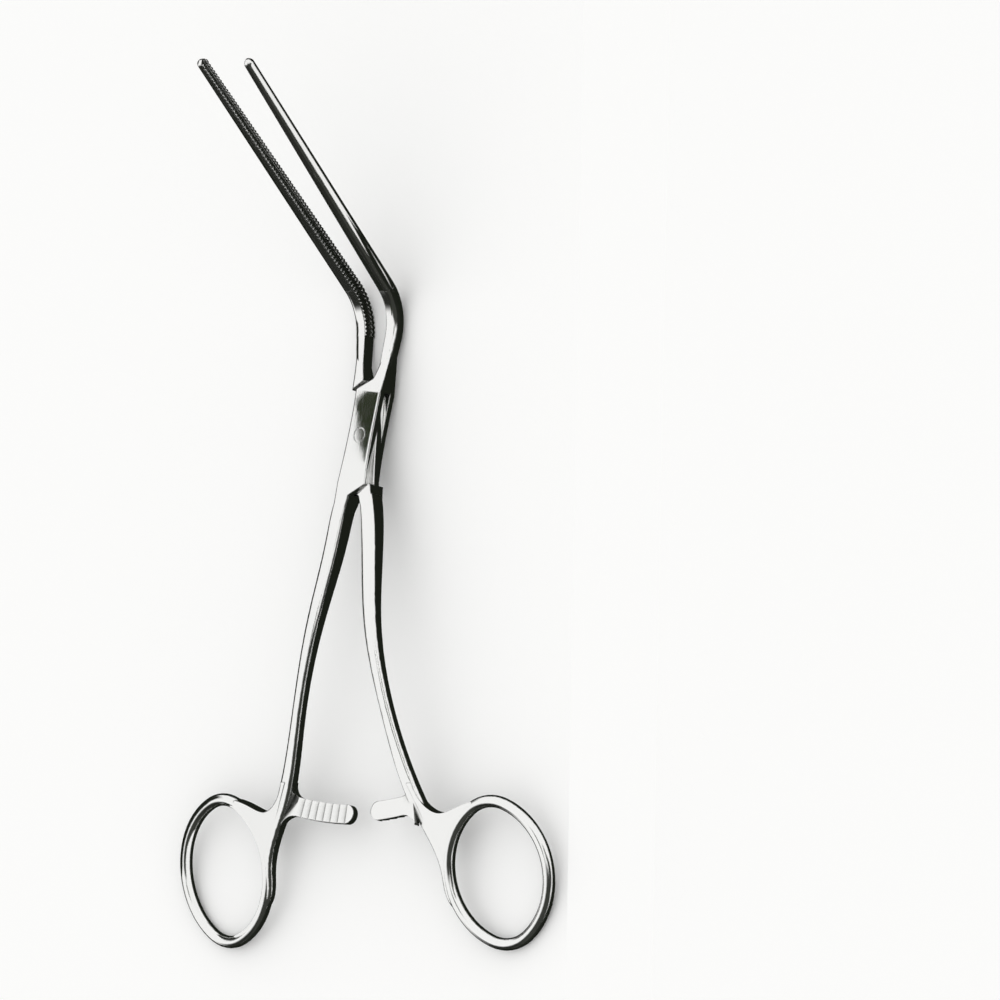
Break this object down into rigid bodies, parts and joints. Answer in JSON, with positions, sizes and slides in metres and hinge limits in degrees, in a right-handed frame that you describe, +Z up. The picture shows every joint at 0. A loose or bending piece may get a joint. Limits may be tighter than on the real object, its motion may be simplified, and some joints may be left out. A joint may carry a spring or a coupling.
{
  "type": "vascular clamp",
  "caption": "Vascular clamp with a box lock, long angled jaws with fine atraumatic teeth, ring handles and a ratchet.",
  "frame": {"origin": "middle of the underside of the bounding box, on the surface that the clamp lies on", "axes": "+Y from the finger rings towards the jaws, +X to the side of the jaw of the outer half, +Z up, towards which the jaws rise"},
  "size_m": [0.1122, 0.2008, 0.0577],
  "materials": {
    "steel": "polished",
    "pin_steel": "polished"
  },
  "bodies": {
    "outer": {"outer_half": "steel", "pivot_pin": "pin_steel"},
    "inner": {"inner_half": "steel"}
  },
  "joints": [
    {"name": "box_lock", "type": "hinge", "parent": "outer", "child": "inner", "pos_m": [0, 0.01607, 0.00562], "axis": [0, 0.1557, 0.9878], "range_deg": [-9.6, 36]}
  ]
}
